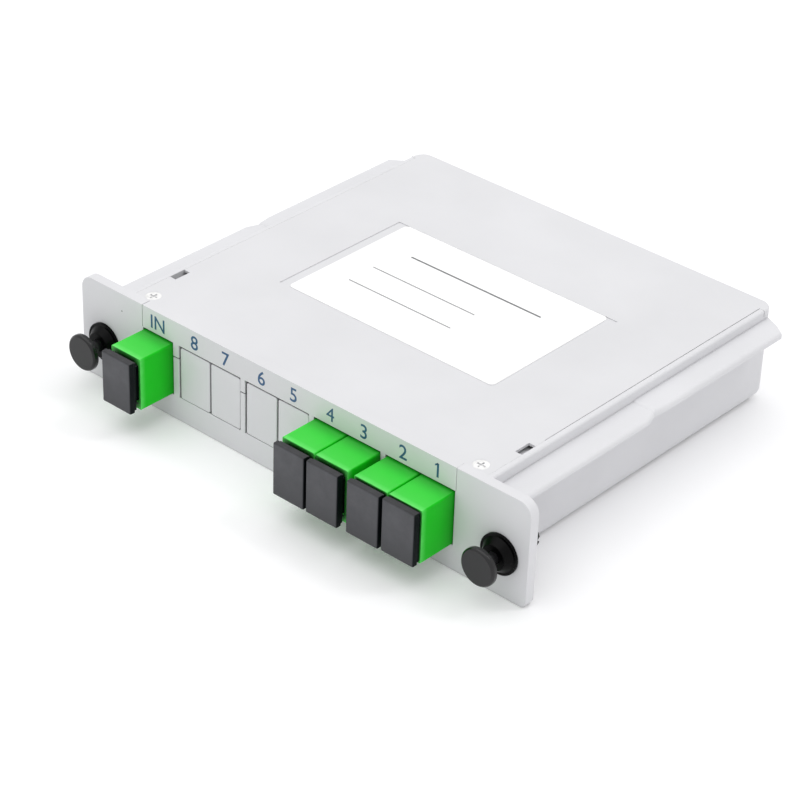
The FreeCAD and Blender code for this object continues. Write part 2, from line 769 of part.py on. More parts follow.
def adapter_body(port):
    """Outer housing of the adapter: a square tube with retaining ribs."""
    body = new_body("adapter_body_%d" % port)
    half = size("body_wide") / 2
    tall = size("body_tall") / 2
    front = -size("adapter_out")
    rear = front + size("adapter_long")
    pad(body, "XZ_Plane", front, rear,
        lambda s: rectangle(s, -half, half, -tall, tall))
    chamfer(body, size("body_bevel"), lambda e: runs_along(e, "y"))
    back = size("plate_depth") + size("rib_play")
    rib = tall + size("rib_out")
    rib_half = half - size("rib_short")
    pad(body, "XZ_Plane", back, back + size("rib_deep"),
        lambda s: rectangle(s, -rib_half, rib_half, -rib, rib))
    wide = size("socket_wide") / 2
    high = size("socket_tall") / 2
    pocket(body, "XZ_Plane", front - PAST, rear + PAST,
           lambda s: rectangle(s, -wide, wide, -high, high))
    # key slots that let a plug in one way round only
    key = size("key_half")
    key_side = -wide - size("key_deep")
    for start, end in ((front - PAST, front + size("key_long")),
                       (rear + PAST, rear - size("key_long"))):
        pocket(body, "XZ_Plane", start, end,
               lambda s: rectangle(s, key_side, NEAR - wide, -key, key))
    return place(body, across=port_middle(port), up=size("port_height"))


def sleeve_holder(port):
    """Centre plate of the adapter with its barrel and four latch hooks."""
    body = new_body("sleeve_holder_%d" % port)
    middle = size("adapter_long") / 2 - size("adapter_out")
    play = size("holder_play")
    wide = size("socket_wide") / 2 - play
    high = size("socket_tall") / 2 - play
    thick = size("holder_thick") / 2
    pad(body, "XZ_Plane", middle - thick, middle + thick,
        lambda s: rectangle(s, -wide, wide, -high, high))
    reach = size("barrel_long") / 2
    pad(body, "XZ_Plane", middle - reach, middle + reach,
        lambda s: many_sided(s, size("barrel"), BARREL_SIDES))
    hook = size("hook_half")
    for end in (-1, 1):
        for side in (-1, 1):
            pad(body, "YZ_Plane", -hook, hook,
                lambda s, end=end, side=side: hook_profile(s, middle, end, side))
    pocket(body, "XZ_Plane", middle - reach - PAST, middle + reach + PAST,
           lambda s: many_sided(s, size("sleeve_out") + play, PIN_SIDES))
    return place(body, across=port_middle(port), up=size("port_height"))


def hook_profile(sketch, middle, end, side):
    """Side view of one latch arm: a flat spring with a hooked tip."""
    root = size("hook_root")
    outer = root + size("hook_thick")
    catch = root - size("hook_bite")
    start = size("hook_start")
    flat = size("hook_flat")
    tip = size("hook_long")
    slope = size("hook_slope")
    points = ((start, root), (flat, root), (flat + slope, catch),
              (tip - slope, catch), (tip, root), (tip - slope / 2, outer),
              (start, outer))
    outline(sketch, [(middle + y * end, z * side) for y, z in points])


def split_sleeve(port):
    """Ceramic sleeve with one slit along it."""
    body = new_body("split_sleeve_%d" % port)
    middle = size("adapter_long") / 2 - size("adapter_out")
    reach = size("sleeve_long") / 2
    slit = size("sleeve_slit") / 2

    def ring(sketch):
        many_sided(sketch, size("sleeve_out"), PIN_SIDES)
        many_sided(sketch, size("sleeve_in"), PIN_SIDES)

    pad(body, "XZ_Plane", middle - reach, middle + reach, ring)
    pocket(body, "XZ_Plane", middle - reach - PAST, middle + reach + PAST,
           lambda s: rectangle(s, -slit, slit, SINK, size("sleeve_out") + SINK))
    return place(body, across=port_middle(port), up=size("port_height"))


def dust_cap(port):
    """Rubber cap: a bevelled plate on a neck, with a plug for the socket."""
    body = new_body("dust_cap_%d" % port)
    wide = size("cap_wide") / 2
    tall = size("cap_tall") / 2
    back = -size("adapter_out") - size("rest_gap") - CAP_PROUD[port]
    front = -size("adapter_out") - size("rest_gap") - CAP_PROUD[port] - size("cap_thick")
    behind = front + size("cap_plate")
    pad(body, "XZ_Plane", behind, front,
        lambda s: rectangle(s, -wide, wide, -tall, tall))
    front_y = front.value
    chamfer(body, size("cap_bevel"), lambda e: e.BoundBox.YMax < front_y + NEAR)
    neck_wide = size("cap_neck_wide") / 2
    neck_tall = size("cap_neck_tall") / 2
    pad(body, "XZ_Plane", back, behind,
        lambda s: rectangle(s, -neck_wide, neck_wide, -neck_tall, neck_tall))
    plug_wide = size("socket_wide") / 2 - size("cap_play")
    plug_tall = size("socket_tall") / 2 - size("cap_play")
    pad(body, "XZ_Plane", back, back + size("cap_plug"),
        lambda s: rectangle(s, -plug_wide, plug_wide, -plug_tall, plug_tall))
    plug_end = (back + size("cap_plug")).value
    chamfer(body, size("cap_bevel"), lambda e: e.BoundBox.YMin > plug_end - NEAR)
    return place(body, across=port_middle(port), up=size("port_height"))


# ------------------------------------------------------------ inside the case

def inner_plug(port):
    """Connector housing that sits in the rear socket of the adapter."""
    body = new_body("inner_plug_%d" % port)
    middle = size("adapter_long") / 2 - size("adapter_out")
    front = middle + size("plug_front")
    rear = size("plug_rear")
    wide = size("plug_wide") / 2
    tall = size("plug_tall") / 2
    inside = tall - size("plug_step")
    deep = size("plug_deep")
    opening = size("plug_open")
    pad(body, "XZ_Plane", front, rear,
        lambda s: rectangle(s, -wide, wide, -inside, inside))
    pad(body, "XZ_Plane", front + deep - SINK, rear - size("plug_step"),
        lambda s: rectangle(s, -wide, wide, -tall, tall))
    pocket(body, "XZ_Plane", front - PAST, front + deep,
           lambda s: rectangle(s, -opening, opening, -opening, opening))
    pocket(body, "XZ_Plane", front + deep - PAST, middle + size("ferrule_long"),
           lambda s: many_sided(s, size("sleeve_in"), PIN_SIDES))
    return place(body, across=port_middle(port), up=size("port_height"))


def ferrule(port):
    """Ceramic pin with a tapered nose, ending at the middle of the adapter."""
    body = new_body("ferrule_%d" % port)
    middle = size("adapter_long") / 2 - size("adapter_out")
    radius = size("sleeve_in") - size("ferrule_play")
    pad(body, "XZ_Plane", middle, middle + size("ferrule_long"),
        lambda s: many_sided(s, radius, PIN_SIDES))
    front_y = middle.value
    chamfer(body, size("nose"), lambda e: e.BoundBox.YMax < front_y + NEAR)
    return place(body, across=port_middle(port), up=size("port_height"))


def strain_boot(port):
    """Boot with a collar and two steps, thinnest where the fibre leaves."""
    body = new_body("strain_boot_%d" % port)
    front = size("plug_rear")
    collar = front + size("boot_collar_long")
    end = front + size("boot_long")
    waist = end - size("boot_tip_long")
    for start, stop, radius in ((front, collar, "boot_collar"),
                                (collar, waist, "boot_waist"),
                                (waist, end, "boot_tip")):
        pad(body, "XZ_Plane", start, stop,
            lambda s, r=radius: many_sided(s, size(r), BARREL_SIDES))
    return place(body, across=port_middle(port), up=size("port_height"))


def tangent_path(points):
    """Straight runs joined by the largest arcs that their runs allow."""
    edges = []
    last = points[0]
    for before, corner, after in zip(points, points[1:], points[2:]):
        arriving = (corner - before).normalize()
        leaving = (after - corner).normalize()
        half_turn = arriving.getAngle(leaving) / 2
        shorter = min((corner - before).Length, (after - corner).Length)
        cut = BEND_SHARE * shorter
        radius = cut / math.tan(half_turn)
        start = corner - arriving * cut
        end = corner + leaving * cut
        inward = (leaving - arriving).normalize()
        reach = radius / math.cos(half_turn) - radius
        edges.append(Part.LineSegment(last, start).toShape())
        edges.append(Part.Arc(start, corner + inward * reach, end).toShape())
        last = end
    edges.append(Part.LineSegment(last, points[-1]).toShape())
    return Part.Wire(edges)


def even_section(radius, centre, along, sides):
    """A regular polygon across a path, for parts too thin to need more."""
    along = FreeCAD.Vector(along).normalize()
    up = FreeCAD.Vector(0, 0, 1)
    aside = along.cross(up)
    corners = []
    for number in range(sides + 1):
        turn = 2 * math.pi * (number + 0.5) / sides
        corners.append(centre + aside * (radius * math.cos(turn))
                       + up * (radius * math.sin(turn)))
    return Part.makePolygon(corners)


def tube(points, radius):
    """A thin square-sectioned fibre along straight runs and tangent arcs."""
    path = tangent_path(points)
    section = even_section(radius * SQUARE_SHARE, points[0], points[1] - points[0],
                           FIBRE_SIDES)
    solid = path.makePipeShell([section], True, True)
    expected = Part.Face(section).Area * path.Length
    if abs(solid.Volume - expected) > VOLUME_SLACK * expected:
        raise RuntimeError("a tube has the wrong volume")
    return solid


def fibre_tail(port):
    """Buffered fibre from a boot down onto the coil."""
    start = (size("plug_rear") + size("boot_long")).value
    height = size("port_height").value
    ring_front = (size("coil_back") - size("coil_bend")).value
    across = port_middle(port).value
    lean = 1.0 if port == 0 else -1.0
    bend = FreeCAD.Vector(across + size("tail_aside").value * lean,
                          ring_front + size("tail_past").value,
                          size("tail_over").value)
    end = FreeCAD.Vector(across + size("tail_end_aside").value * lean,
                         ring_front + size("tail_end_past").value,
                         size("tail_end_high").value)
    points = [
        FreeCAD.Vector(across, start, height),
        FreeCAD.Vector(across, start + size("tail_flat").value, height),
        bend,
        end,
    ]
    return shape_part("fibre_tail_%d" % port, tube(points, size("fibre").value))


def coil_path():
    """Racetrack-shaped centre line of the coiled fibres."""
    bend = size("coil_bend").value
    run = size("coil_straight").value
    back = size("coil_back").value
    height = (size("case_floor") + size("wall") + size("coil_thick")
              + size("coil_lift")).value

    def at(x, y):
        return FreeCAD.Vector(x, back + y, height)

    return Part.Wire([
        Part.LineSegment(at(-run, -bend), at(run, -bend)).toShape(),
        Part.Arc(at(run, -bend), at(run + bend, 0), at(run, bend)).toShape(),
        Part.LineSegment(at(run, bend), at(-run, bend)).toShape(),
        Part.Arc(at(-run, bend), at(-run - bend, 0), at(-run, -bend)).toShape(),
    ])


def fibre_coil():
    """The slack of all fibres, wound into one flat ring."""
    path = coil_path()
    start = path.Vertexes[0].Point
    along = FreeCAD.Vector(1, 0, 0)
    radius = size("coil_thick").value * SQUARE_SHARE
    section = even_section(radius, start, along, FIBRE_SIDES)
    return shape_part("fibre_coil", path.makePipeShell([section], True, True))


def splitter_chip():
    """Steel case that holds the splitter chip, with rounded long edges."""
    body = new_body("splitter_chip")
    half = size("chip_long") / 2
    wide = size("chip_wide") / 2
    low = size("case_floor") + size("wall") + size("pad_thick")
    back = size("coil_back")
    pad(body, "XY_Plane", low, low + size("chip_wide"),
        lambda s: rectangle(s, -half, half, back - wide, back + wide))
    fillet(body, size("chip_round"), lambda e: runs_along(e, "x"))
    return place(body)


def chip_pad():
    """Soft pad that the chip's case is stuck down with."""
    body = new_body("chip_pad")
    half = size("chip_long") / 2 - size("chip_wide")
    low = size("case_floor") + size("wall")
    back = size("coil_back")
    wide = size("pad_half")
    pad(body, "XY_Plane", low, low + size("pad_thick"),
        lambda s: rectangle(s, -half, half, back - wide, back + wide))
    return place(body)


def chip_lead(name, side):
    """Fibre or ribbon between the end of the chip's case and the coil."""
    end = size("chip_long").value / 2
    back = size("coil_back").value
    height = (size("case_floor") + size("wall") + size("lead_high")).value
    flat = size("lead_flat").value
    bend = (size("coil_straight") + size("coil_bend") - size("lead_short")).value
    points = [
        FreeCAD.Vector(side * end, back, height),
        FreeCAD.Vector(side * (end + flat), back, height),
        FreeCAD.Vector(side * bend, back + size("lead_back").value, height),
    ]
    return shape_part(name, tube(points, size("fibre").value))


def clip_shape(across, side):
    """A fibre clip: an arch with two stuck-down feet over the bundle."""
    back = size("coil_back").value + size("coil_bend").value * side
    floor = (size("case_floor") + size("wall")).value
    bundle = size("coil_thick").value
    thick = size("clip_thick").value
    wide = size("clip_wide").value
    inner = bundle + size("clip_play").value
    outer = inner + thick
    foot = outer + size("clip_foot").value
    foot_top = floor + size("clip_foot_thick").value
    high = floor + 2 * bundle + size("clip_over").value
    half = ((foot, floor), (foot, foot_top), (outer, foot_top), (outer, high + thick))
    arch = ((-inner, floor), (-inner, high), (inner, high), (inner, floor))
    around = list(half) + [(-y, z) for y, z in reversed(half)] + list(arch)
    corners = [FreeCAD.Vector(across - wide / 2, back + y, z) for y, z in around]
    face = Part.Face(Part.makePolygon(corners + corners[:1]))
    return face.extrude(FreeCAD.Vector(wide, 0, 0))


def fibre_clips():
    """Four clips, two on each long side of the coil, clear of the tails."""
    seats = ((-20.0, -1), (-8.0, -1), (-14.0, 1), (14.0, 1))
    clips = [clip_shape(across, side) for across, side in seats]
    return shape_part("fibre_clips", Part.makeCompound(clips))


# ------------------------------------------------------------------- latches

def latch_grommet(name, side):
    """Push-in grommet: flange, tapered collar and two legs behind the ear."""
    body = new_body(name)
    plate = size("plate_depth")
    bore = size("bore")
    leg = size("leg")
    end = size("leg_end")
    front = -size("collar_front")
    flange_front = -size("flange_thick")
    flange_back = -size("flange_play")
    revolve(body, "YZ_Plane", (
        (front, bore), (front, size("collar_mouth")),
        (flange_front, size("collar_foot")), (flange_front, size("flange")),
        (flange_back, size("flange")), (flange_back, size("shoulder")),
        (plate, size("shoulder")), (plate, leg), (size("leg_taper"), leg),
        (end, size("leg_tip")), (end, bore)), "H_Axis")
    gap = size("slit") / 2
    pocket(body, "YZ_Plane", -leg - PAST, leg + PAST,
           lambda s: rectangle(s, plate + size("slit_start"), end + PAST, -gap, gap))
    return place(body, across=size("latch_out") * side, up=size("latch_height"))


def latch_plunger(name, side):
    """Push knob: a flat head on a stem that runs in the grommet."""
    body = new_body(name)
    knob = size("knob")
    front = -size("knob_front")
    bevel = size("knob_bevel")
    behind = front + size("knob_thick")
    stem = size("bore") - size("stem_play")
    stem_end = size("leg_end") - size("stem_short")
    revolve(body, "YZ_Plane", (
        (front, 0.0), (front, knob - bevel), (front + bevel, knob),
        (behind, knob), (behind, stem), (stem_end, stem),
        (stem_end, 0.0)), "H_Axis")
    return place(body, across=size("latch_out") * side, up=size("latch_height"))


# ---------------------------------------------------------------------- build

def build():
    base_shell()
    top_cover()
    cover_screws()
    label()
    for port in BLANK_PORTS:
        blank_plate(port)
    for port in LIVE_PORTS:
        for maker in (adapter_body, sleeve_holder, split_sleeve, dust_cap,
                      inner_plug, ferrule, strain_boot, fibre_tail):
            maker(port)
    fibre_coil()
    splitter_chip()
    chip_pad()
    chip_lead("chip_lead_in", -1)
    chip_lead("chip_lead_out", 1)
    fibre_clips()
    for word, side in (("left", -1), ("right", 1)):
        latch_grommet("latch_grommet_" + word, side)
        latch_plunger("latch_plunger_" + word, side)


def check_and_export():
    DOCUMENT.recompute()
    for thing in DOCUMENT.Objects:
        bad = [state for state in thing.State if state in ("Invalid", "Error")]
        if bad:
            raise RuntimeError("%s is %s" % (thing.Label, bad))
    for part in SUBPARTS:
        shape = part.Shape
        if shape.isNull() or not shape.isValid() or not shape.Solids:
            raise RuntimeError("%s has no valid solid" % part.Label)
    os.makedirs("parts", exist_ok=True)
    for part in SUBPARTS:
        part.Shape.exportStep("parts/%s.step" % part.Label)
        print("%-20s %10.1f mm3 %d solid(s)" % (
            part.Label, part.Shape.Volume, len(part.Shape.Solids)))


build()
check_and_export()
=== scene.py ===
import json
import math

import bmesh
import bpy
from mathutils import Matrix, Vector


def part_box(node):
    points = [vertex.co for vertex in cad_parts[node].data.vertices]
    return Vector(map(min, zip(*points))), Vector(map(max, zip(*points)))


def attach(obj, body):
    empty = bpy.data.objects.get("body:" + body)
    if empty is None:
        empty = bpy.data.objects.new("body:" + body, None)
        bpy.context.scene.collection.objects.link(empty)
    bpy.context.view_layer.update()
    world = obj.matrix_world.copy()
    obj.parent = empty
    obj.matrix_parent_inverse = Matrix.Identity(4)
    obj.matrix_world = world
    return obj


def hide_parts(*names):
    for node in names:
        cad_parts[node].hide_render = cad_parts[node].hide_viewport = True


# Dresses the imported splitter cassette.  The visible CAD nodes get copies with
# rounded edges, and every node gets a material.  Port numbers, rules on the
# label and a few small forms are added, and a pale studio stands around it.
# X runs along the front plate, Y runs from the plate to the rear and Z is up.

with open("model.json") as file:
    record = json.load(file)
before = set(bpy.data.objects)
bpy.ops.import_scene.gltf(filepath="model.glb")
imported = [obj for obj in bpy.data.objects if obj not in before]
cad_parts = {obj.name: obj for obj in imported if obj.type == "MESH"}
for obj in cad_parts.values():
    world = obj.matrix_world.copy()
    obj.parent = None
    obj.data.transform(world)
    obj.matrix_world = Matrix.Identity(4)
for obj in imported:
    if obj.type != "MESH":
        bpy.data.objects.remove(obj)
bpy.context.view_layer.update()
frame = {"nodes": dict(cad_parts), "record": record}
NODES = frame["nodes"]
MM = 0.001
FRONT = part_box("base_shell")[0].y       # the front plate's face
INPUT = 0
OUTPUTS = range(1, 5)
BLANKS = range(5, 9)

# camera: places in metres, turns in radians, and lens and sensor in mm
CAMERA_PLACE = (0.32492, -0.38399, 0.31868)
CAMERA_YAW = -0.714076
CAMERA_PITCH = -0.563566
CAMERA_ROLL = 0.0366894
CAMERA_LENS = 119.69
CAMERA_SENSOR = 36.0
CAMERA_NEAREST = 0.01

# light: a wide soft one from above, and a narrower one from behind
AMBIENT = 0.72
SUN_STRENGTH = 0.95
SUN_SPREAD = math.radians(70)
SUN_FROM = (-0.18, -0.12, 1.0)
RIM_LIGHT = 0.32
RIM_SPREAD = math.radians(12)
RIM_FROM = (0.40, 0.44, 0.80)
FLOOR_COLOUR = (0.90, 0.90, 0.91)
FLOOR_GLOW = 0.14
FLOOR_REACH = 4.0

# colours, linear
CASE_GREY = (0.735, 0.735, 0.757)
COVER_GREY = (0.725, 0.725, 0.745)
BLANK_GREY = (0.735, 0.735, 0.757)
# the green is painted paler on top, as lit from above
GREEN_TOP = (0.020, 0.65, 0.026)
GREEN_SIDE = (0.008, 0.60, 0.012)
# the underside painted darker, which dims the green light it throws on the floor
GREEN_UNDER = (0.010, 0.22, 0.014)
# painted shade on the adapters, behind the caps and by the front plate
GREEN_BEHIND_CAP_SHADE = (0.0, 0.010, 0.0)
GREEN_ROOT_SHADE = (0.004, 0.20, 0.006)
# painted highlight on the adapters' front ends
GREEN_HIGHLIGHT = (0.16, 0.85, 0.18)
# the dust caps in painted tones: a face with a painted sheen, a top paler than the sides as
# lit from above, and sides in painted shade
CAP_FACE = (0.070, 0.071, 0.079)
CAP_TOP = (0.054, 0.054, 0.058)
CAP_SIDE = (0.004, 0.006, 0.007)
KNOB_BLACK = (0.0105, 0.0105, 0.0115)
COLLAR_BLACK = (0.0014, 0.0014, 0.0016)
PAPER_WHITE = (0.97, 0.97, 0.97)
PRINT_BLUE = (0.026, 0.085, 0.185)
PRINT_GREY = (0.10, 0.10, 0.11)
# painted shade in the screws' cross recess
SCREW_RECESS_SHADE = (0.74, 0.74, 0.75)
STEEL = (0.88, 0.88, 0.87)
SCREW_WHITE = (0.92, 0.92, 0.91)
CERAMIC = (0.80, 0.79, 0.76)
FIBRE_WHITE = (0.75, 0.75, 0.72)
PLUG_GREEN = (0.03, 0.22, 0.05)
BOOT_GREEN = (0.04, 0.30, 0.06)
HOLDER_CREAM = (0.62, 0.60, 0.55)
FOAM_GREY = (0.30, 0.30, 0.31)

# how far painted shade, painted highlight and rubbing reach
GAP_REACH = 1.2 * MM        # painted shade, from a gap
CROSS_REACH = 1.1 * MM      # painted shade, from the screws' cross recess
CORNER_REACH = 2.5 * MM     # shade on an adapter, around its dust cap
ROOT_LONG = 5.0 * MM        # shade on an adapter, from the front plate
FRONT_HIGHLIGHT_REACH = 1.5 * MM         # painted highlight on an adapter, from its front end
EDGE_WEAR_AND_HIGHLIGHT = 0.22 * MM       # rubbing and painted highlight beside an edge
CAP_DARK_BELOW = 6.5 * MM        # a dust cap's face is darker below this height, and at its full tone above this one
CAP_FULL_ABOVE = 14.0 * MM      # and dusty above this one

# spots that the moulded materials share, per metre
CLOUD_SPOTS = 38.0
GLOSS_SPOTS = 150.0
WEAR_AND_HIGHLIGHT_SPOTS = 420.0


# ---------------------------------------------------------------- materials

class Nodes:
    """A material's node tree, with short calls for the nodes used here."""

    def __init__(self, name):
        self.material = bpy.data.materials.new(name)
        self.material.use_nodes = True
        self.tree = self.material.node_tree
        self.shader = self.tree.nodes["Principled BSDF"]
        self.place = self.tree.nodes.new("ShaderNodeTexCoord").outputs["Object"]

    def link(self, source, target):
        self.tree.links.new(source, target)

    def noise(self, scale, detail, roughness=0.55):
        node = self.tree.nodes.new("ShaderNodeTexNoise")
        node.inputs["Scale"].default_value = scale
        node.inputs["Detail"].default_value = detail
        node.inputs["Roughness"].default_value = roughness
        self.link(self.place, node.inputs["Vector"])
        return node.outputs["Fac"]

    def spread(self, source, low, high, start=0.3, end=0.7):
        """Maps a value's start..end to low..high."""
        node = self.tree.nodes.new("ShaderNodeMapRange")
        for socket, value in (("From Min", start), ("From Max", end),
                              ("To Min", low), ("To Max", high)):
            node.inputs[socket].default_value = value
        self.link(source, node.inputs["Value"])
        return node.outputs["Result"]

    def mix(self, share, first, second):
        """Mixes two colours, each a tuple or a socket."""
        node = self.tree.nodes.new("ShaderNodeMix")
        node.data_type = "RGBA"
        self.link(share, node.inputs["Factor"])
        self.put(first, node.inputs["A"])
        self.put(second, node.inputs["B"])
        return node.outputs["Result"]

    def put(self, colour, socket):
        if isinstance(colour, tuple):
            socket.default_value = colour + (1.0,)
        else:
            self.link(colour, socket)

    def facing(self, axis, sign, side=0.75, full=0.97):
        """1 where the surface faces along an axis, and 0 on its sides."""
        geometry = self.tree.nodes.new("ShaderNodeNewGeometry")
        split = self.tree.nodes.new("ShaderNodeSeparateXYZ")
        self.link(geometry.outputs["Normal"], split.inputs[0])
        return self.spread(split.outputs[axis], 0.0, 1.0, side * sign, full * sign)

    def along(self, axis, low, high, start, end):
        """Goes from low to high as the place moves from start to end."""
        split = self.tree.nodes.new("ShaderNodeSeparateXYZ")
        self.link(self.place, split.inputs[0])
        return self.spread(split.outputs[axis], low, high, start, end)

    def times(self, first, second):
        node = self.tree.nodes.new("ShaderNodeMath")
        node.operation = "MULTIPLY"
        self.link(first, node.inputs[0])
        self.link(second, node.inputs[1])
        return node.outputs["Value"]

    def edges(self, radius, bent=0.80, flat=0.99):
        """1 where an edge within radius bends the surface, 0 where it's flat."""
        bevel = self.tree.nodes.new("ShaderNodeBevel")
        bevel.samples = 4
        bevel.inputs["Radius"].default_value = radius
        geometry = self.tree.nodes.new("ShaderNodeNewGeometry")
        dot = self.tree.nodes.new("ShaderNodeVectorMath")
        dot.operation = "DOT_PRODUCT"
        self.link(bevel.outputs["Normal"], dot.inputs[0])
        self.link(geometry.outputs["Normal"], dot.inputs[1])
        return self.spread(dot.outputs["Value"], 1.0, 0.0, bent, flat)

    def rubbed(self, low, high):
        """Uneven rubbing and painted highlight, between low and high."""
        return self.spread(self.noise(WEAR_AND_HIGHLIGHT_SPOTS, detail=2.0), low, high)

    def patches(self, spots, detail, roughness=0.55, most=1.0):
        """Soft patches, from 0 to most."""
        return self.spread(self.noise(spots, detail, roughness), 0.0, most)

    def shelter(self, reach, closed=0.0, open_sky=0.65):
        """1 where a share closed of the sky shows, and 0 from open_sky on."""
        node = self.tree.nodes.new("ShaderNodeAmbientOcclusion")
        node.samples = 6
        node.inputs["Distance"].default_value = reach
        return self.spread(node.outputs["AO"], 1.0, 0.0, closed, open_sky)

    def colour(self, source):
        self.link(source, self.shader.inputs["Base Color"])

    def shine(self, source):
        self.link(source, self.shader.inputs["Specular IOR Level"])

    def gloss(self, low, high, spots=GLOSS_SPOTS, detail=5.0):
        """A roughness that wanders between low and high."""
        rough = self.spread(self.noise(spots, detail), low, high)
        self.link(rough, self.shader.inputs["Roughness"])

    def grain(self, spots, depth, detail=2.0):
        """A fine relief of the surface."""
        node = self.tree.nodes.new("ShaderNodeBump")
        node.inputs["Distance"].default_value = depth
        self.link(self.noise(spots, detail), node.inputs["Height"])
        self.link(node.outputs["Normal"], self.shader.inputs["Normal"])


def shade(colour, factor):
    return tuple(min(1.0, part * factor) for part in colour)


def moulded(name, colour, rough, grain=0.35 * MM, depth=0.006 * MM,
            cloud=0.03, wear_and_highlight_share=0.5, wear_and_highlight_paler=1.12, specular=0.5, gap_shade=0.0):
    """Moulded plastic: a fine grain, uneven gloss, edges paler from rubbing and a painted
    highlight, and painted shade in its gaps.

    grain and depth are the relief's spacing and height.  cloud is how uneven
    the colour is, wear_and_highlight_share how much of an edge is paler from
    rubbing and a painted highlight, wear_and_highlight_paler how many times paler
    it is there, and gap_shade how dark the painted shade in the gaps gets, up to 1.
    """
    nodes = Nodes(name)
    nodes.shader.inputs["Specular IOR Level"].default_value = specular
    patches = nodes.patches(CLOUD_SPOTS, detail=4.0)
    base = nodes.mix(patches, shade(colour, 1 - cloud), shade(colour, 1 + cloud))
    # edges paler, partly from rubbing and partly a painted highlight
    rubbed = nodes.times(nodes.edges(EDGE_WEAR_AND_HIGHLIGHT), nodes.rubbed(0.0, wear_and_highlight_share))
    base = nodes.mix(rubbed, base, shade(colour, wear_and_highlight_paler))
    # painted shade in the gaps, where little sky shows
    if gap_shade:
        base = nodes.mix(nodes.shelter(GAP_REACH), base, shade(colour, 1 - gap_shade))
    nodes.colour(base)
    nodes.gloss(rough - 0.05, rough + 0.06)
    nodes.grain(1.0 / grain, depth)
    return nodes.material


def adapter_plastic(name):
    """Green plastic: a top painted paler as lit from above, a darker underside, a painted
    highlight at its front end, and painted shade at its root and behind its dust cap.
    """
    nodes = Nodes(name)
    # the top painted paler than the sides, as lit from above
    top = nodes.facing("Z", 1)
    patches = nodes.patches(60.0, detail=4.0)
    side = nodes.mix(patches, shade(GREEN_SIDE, 0.95), shade(GREEN_SIDE, 1.05))
    upper_tone = nodes.mix(patches, shade(GREEN_TOP, 0.96), shade(GREEN_TOP, 1.04))
    base = nodes.mix(top, side, upper_tone)
    # the underside painted darker, which dims the green light it throws on the floor
    base = nodes.mix(nodes.facing("Z", -1), base, GREEN_UNDER)
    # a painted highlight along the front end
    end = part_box("adapter_body_0")[0].y
    pale = nodes.along("Y", 0.75, 0.0, end, end + FRONT_HIGHLIGHT_REACH)
    base = nodes.mix(nodes.times(pale, nodes.rubbed(0.6, 1.0)), base, GREEN_HIGHLIGHT)
    # painted shade near the front plate
    root = nodes.along("Y", 0.0, 0.80, FRONT - ROOT_LONG, FRONT)
    base = nodes.mix(nodes.times(root, root), base, GREEN_ROOT_SHADE)
    # painted shade on the front face behind the dust cap, where little sky shows
    behind_cap = nodes.times(nodes.facing("Y", -1),
                             nodes.shelter(CORNER_REACH, closed=0.30, open_sky=0.90))
    nodes.colour(nodes.mix(behind_cap, base, GREEN_BEHIND_CAP_SHADE))
    nodes.shine(nodes.spread(top, 0.15, 0.55, 0.0, 1.0))
    nodes.gloss(0.30, 0.42)
    nodes.grain(4000.0, 0.003 * MM)
    return nodes.material


def rubber_cap(name):
    """Rubber in painted tones: a face with a painted sheen, a top paler than the sides as
    lit from above, sides in painted shade, and the face darker towards the bottom.
    """
    nodes = Nodes(name)
    patches = nodes.patches(260.0, detail=5.0, roughness=0.65)
    face = nodes.mix(patches, shade(CAP_FACE, 0.84), shade(CAP_FACE, 1.18))
    # the face darker towards the bottom
    upper_tone = nodes.along("Z", 0.0, 1.0, CAP_DARK_BELOW, CAP_FULL_ABOVE)
    face = nodes.mix(upper_tone, shade(CAP_FACE, 0.70), face)
    top = nodes.mix(patches, shade(CAP_TOP, 0.84), shade(CAP_TOP, 1.18))
    # a painted sheen on the face, the top paler than the sides as lit from above, and
    # painted shade on the sides
    front = nodes.facing("Y", -1, side=0.35)
    base = nodes.mix(nodes.facing("Z", 1, side=0.45), CAP_SIDE, top)
    base = nodes.mix(front, base, face)
    # edges paler, partly from rubbing and partly a painted highlight
    rubbed = nodes.times(nodes.edges(EDGE_WEAR_AND_HIGHLIGHT), nodes.rubbed(0.0, 0.5))
    nodes.colour(nodes.mix(rubbed, base, shade(CAP_FACE, 1.5)))
    nodes.shine(nodes.spread(front, 0.08, 0.35, 0.0, 1.0))
    nodes.gloss(0.38, 0.50)
    nodes.grain(3300.0, 0.006 * MM)
    return nodes.material


def metal(name, colour, rough, metallic=1.0, recess_shade=None):
    """Turned or drawn metal with fine stains, and painted shade in its recesses if any."""
    nodes = Nodes(name)
    stain = nodes.patches(900.0, detail=3.0)
    base = nodes.mix(stain, shade(colour, 0.85), shade(colour, 1.08))
    # painted shade in recesses, where little sky shows
    if recess_shade:
        base = nodes.mix(nodes.shelter(CROSS_REACH, closed=0.3, open_sky=0.98), base, recess_shade)
    nodes.colour(base)
    nodes.shader.inputs["Metallic"].default_value = metallic
    nodes.gloss(rough - 0.08, rough + 0.10, spots=2500.0, detail=4.0)
    nodes.grain(6000.0, 0.003 * MM)
    return nodes.material


def paper(name):
    """Coated label stock: a faint fibre and an even satin surface."""
    nodes = Nodes(name)
    fibres = nodes.patches(1400.0, detail=6.0, roughness=0.7)
    nodes.colour(nodes.mix(fibres, shade(PAPER_WHITE, 0.985), PAPER_WHITE))
    nodes.gloss(0.42, 0.52, spots=260.0, detail=3.0)
    nodes.grain(900.0, 0.004 * MM, detail=4.0)
    return nodes.material


def ink(name, colour):
    """Printed ink, thinner here and there."""
    nodes = Nodes(name)
    thin = nodes.patches(2200.0, detail=4.0, most=0.5)
    nodes.colour(nodes.mix(thin, colour, shade(colour, 1.7)))
    nodes.gloss(0.45, 0.60, spots=900.0, detail=2.0)
    nodes.grain(5000.0, 0.002 * MM)
    return nodes.material


